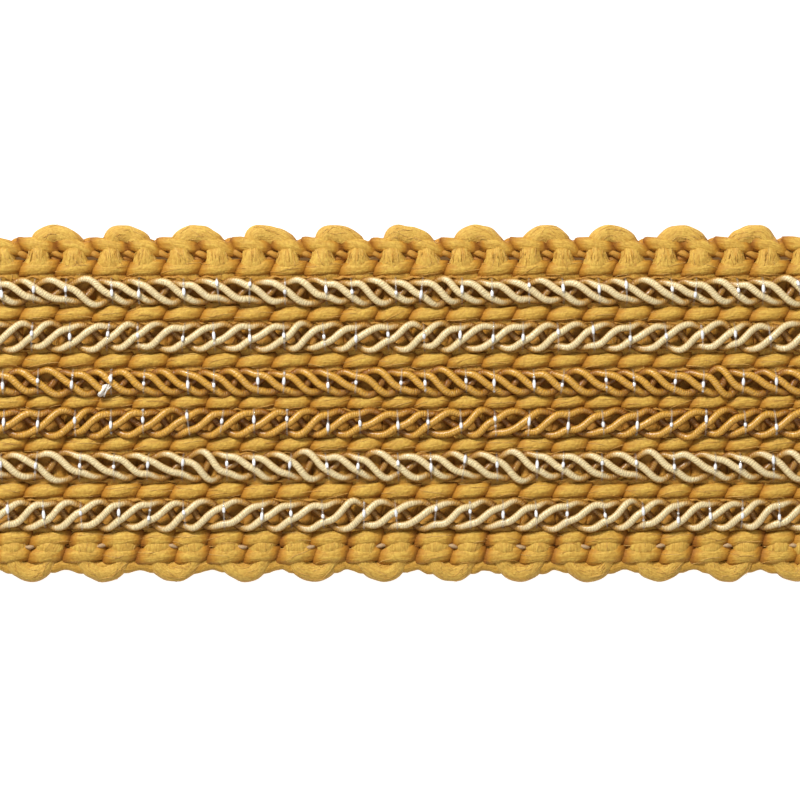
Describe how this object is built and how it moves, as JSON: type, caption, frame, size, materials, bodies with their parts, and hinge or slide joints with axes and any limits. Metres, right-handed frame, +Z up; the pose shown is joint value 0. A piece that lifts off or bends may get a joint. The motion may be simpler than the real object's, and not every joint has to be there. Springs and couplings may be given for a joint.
{
  "type": "woven gimp braid trim",
  "caption": "Flat cut length of woven braid trim with scalloped edges, rows of couched twisted gimp cord on its face and a flat back.",
  "frame": {"origin": "middle of the braid's length and width, on its flat back", "axes": "+X along the braid, +Y across it towards the edge with the wider warp rows, +Z up from the back to the face"},
  "size_m": [0.0816, 0.035, 0.0033],
  "materials": {
    "gold_yarn": "matte",
    "cream_gimp": "satin",
    "old_gold_gimp": "satin",
    "clear_thread": "gloss"
  },
  "bodies": {
    "root": {"ground": "gold_yarn", "cord_1_strand_a": "cream_gimp", "cord_1_strand_b": "cream_gimp", "cord_1_strand_c": "cream_gimp", "cord_2_strand_a": "cream_gimp", "cord_2_strand_b": "cream_gimp", "cord_2_strand_c": "cream_gimp", "cord_3_strand_a": "old_gold_gimp", "cord_3_strand_b": "old_gold_gimp", "cord_3_strand_c": "old_gold_gimp", "cord_4_strand_a": "old_gold_gimp", "cord_4_strand_b": "old_gold_gimp", "cord_4_strand_c": "old_gold_gimp", "cord_5_strand_a": "cream_gimp", "cord_5_strand_b": "cream_gimp", "cord_5_strand_c": "cream_gimp", "cord_6_strand_a": "cream_gimp", "cord_6_strand_b": "cream_gimp", "cord_6_strand_c": "cream_gimp"}
  },
  "joints": []
}
